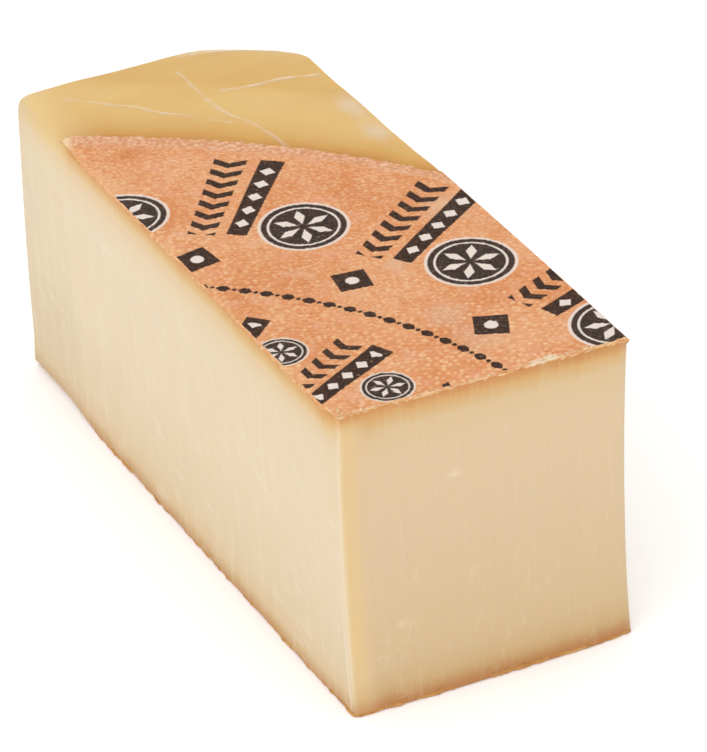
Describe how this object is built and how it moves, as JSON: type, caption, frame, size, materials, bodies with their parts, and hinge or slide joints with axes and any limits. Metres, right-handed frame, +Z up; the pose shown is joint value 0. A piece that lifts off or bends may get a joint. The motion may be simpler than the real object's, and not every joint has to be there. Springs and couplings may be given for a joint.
{
  "type": "gruyere cheese block",
  "caption": "Long block of hard cheese cut from a large wheel, orange rind with a dark printed pattern on top, bare planed far end, thin brown rind under it, ivory cut faces.",
  "frame": {"origin": "middle of the block's underside, on the surface it rests on", "axes": "+Z up, +Y along the block from its printed front end to its bare far end, +X across it"},
  "size_m": [0.0959, 0.2379, 0.1062],
  "materials": {
    "paste": "ivory to pale yellow hard cheese paste, wire cut, faintly waxy, darker yellow towards the rinds",
    "bare_top": "golden yellow planed paste at the far end of the top, under a close clear film with a few fine folds",
    "rind": "dry orange brown washed rind with a fine woven grain and dark printed motifs with pale outlines",
    "foot_rind": "rough brown rind of the underside and of the wheel's heel"
  },
  "bodies": {
    "root": {"cheese": "paste"}
  },
  "joints": []
}
